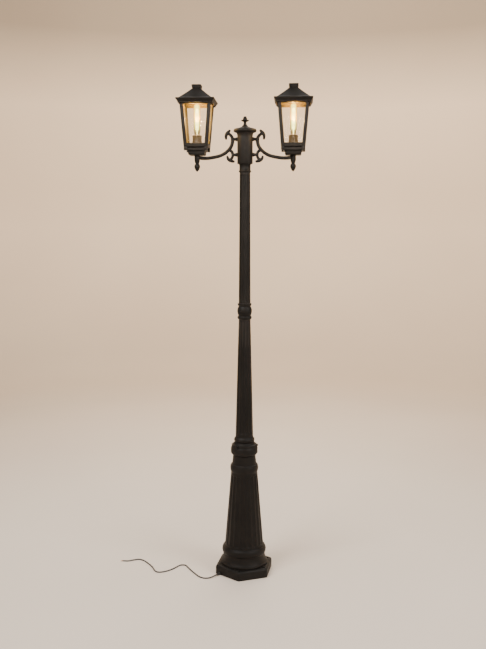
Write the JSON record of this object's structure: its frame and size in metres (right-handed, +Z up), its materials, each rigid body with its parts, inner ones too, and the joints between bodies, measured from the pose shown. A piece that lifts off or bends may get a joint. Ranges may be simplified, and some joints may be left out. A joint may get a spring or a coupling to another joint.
{
  "type": "street lamp post",
  "caption": "Fluted cast lamp post on a hexagonal foot, with square glass lanterns on scroll arms, lit filament bulbs and a loose supply cord.",
  "frame": {"origin": "centre of the hexagonal foot's underside", "axes": "+Z up along the post, X along the two arms, -Y to the front"},
  "size_m": [0.9312, 0.286, 2.3],
  "materials": {
    "black_coat": "satin black powder coat on cast aluminium",
    "black_sheet": "satin black powder coat on sheet aluminium",
    "zinc_steel": "zinc-plated steel",
    "black_screw": "black oxide steel",
    "terminal_plastic": "moulded plastic",
    "cord_sheath": "matt flexible sheath",
    "core_insulation": "core insulation",
    "clear_glass": "clear pane",
    "holder_plastic": "moulded lamp holder",
    "contact_brass": "pressed brass",
    "bulb_clear_glass": "clear envelope",
    "glowing_wire": "glowing filament"
  },
  "bodies": {
    "post": {"base_plate": "black_coat", "foot_bolts": "zinc_steel", "fluted_cone": "black_coat", "clamp_collar": "black_coat", "collar_screws": "black_screw", "lower_shaft": "black_coat", "shaft_coupling": "black_coat", "coupling_screws": "black_screw", "shaft_joiner": "zinc_steel", "upper_shaft": "black_coat", "top_ferrule": "black_coat", "post_spigot": "zinc_steel", "foot_terminal_block": "terminal_plastic", "lead_in": "cord_sheath", "riser_cable": "cord_sheath", "earth_screw": "zinc_steel", "cord_relief": "cord_sheath", "supply_cord": "cord_sheath", "cord_cores": "core_insulation"},
    "head": {"hub": "black_coat", "hub_set_screws": "black_screw", "hub_cap": "black_coat", "hub_finial": "black_coat", "hub_terminal_block": "terminal_plastic", "arm_left": "black_coat", "arm_right": "black_coat", "arm_bolts_left": "zinc_steel", "arm_bolts_right": "zinc_steel", "arm_socket_left": "black_coat", "arm_socket_right": "black_coat", "drop_finial_left": "black_coat", "drop_finial_right": "black_coat"},
    "lantern_left": {"lantern_nipple_left": "zinc_steel", "nipple_nut_left": "zinc_steel", "lantern_base_left": "black_coat", "lantern_cage_left": "black_coat", "lantern_glass_left": "clear_glass", "lamp_holder_left": "holder_plastic", "holder_contacts_left": "contact_brass"},
    "roof_left": {"roof_left": "black_sheet", "roof_cap_left": "black_sheet", "roof_screws_left": "black_screw"},
    "bulb_left": {"bulb_base_left": "contact_brass", "bulb_glass_left": "bulb_clear_glass", "bulb_filament_left": "glowing_wire"},
    "lantern_right": {"lantern_nipple_right": "zinc_steel", "nipple_nut_right": "zinc_steel", "lantern_base_right": "black_coat", "lantern_cage_right": "black_coat", "lantern_glass_right": "clear_glass", "lamp_holder_right": "holder_plastic", "holder_contacts_right": "contact_brass"},
    "roof_right": {"roof_right": "black_sheet", "roof_cap_right": "black_sheet", "roof_screws_right": "black_screw"},
    "bulb_right": {"bulb_base_right": "contact_brass", "bulb_glass_right": "bulb_clear_glass", "bulb_filament_right": "glowing_wire"}
  },
  "joints": [
    {"name": "head_turn", "type": "hinge", "parent": "post", "child": "head", "pos_m": [0, 0, 1.9473], "axis": [0, 0, 1], "range_deg": [-170, 170]},
    {"name": "lantern_left_turn", "type": "hinge", "parent": "head", "child": "lantern_left", "pos_m": [-0.221, 0, 1.983], "axis": [0, 0, 1], "range_deg": [-170, 170]},
    {"name": "roof_left_lift", "type": "slide", "parent": "lantern_left", "child": "roof_left", "axis": [0, 0, 1], "range_m": [0, 0.12]},
    {"name": "bulb_left_unscrew", "type": "slide", "parent": "lantern_left", "child": "bulb_left", "axis": [0, 0, 1], "range_m": [0, 0.01]},
    {"name": "lantern_right_turn", "type": "hinge", "parent": "head", "child": "lantern_right", "pos_m": [0.221, 0, 1.983], "axis": [0, 0, 1], "range_deg": [-170, 170]},
    {"name": "roof_right_lift", "type": "slide", "parent": "lantern_right", "child": "roof_right", "axis": [0, 0, 1], "range_m": [0, 0.12]},
    {"name": "bulb_right_unscrew", "type": "slide", "parent": "lantern_right", "child": "bulb_right", "axis": [0, 0, 1], "range_m": [0, 0.01]}
  ]
}
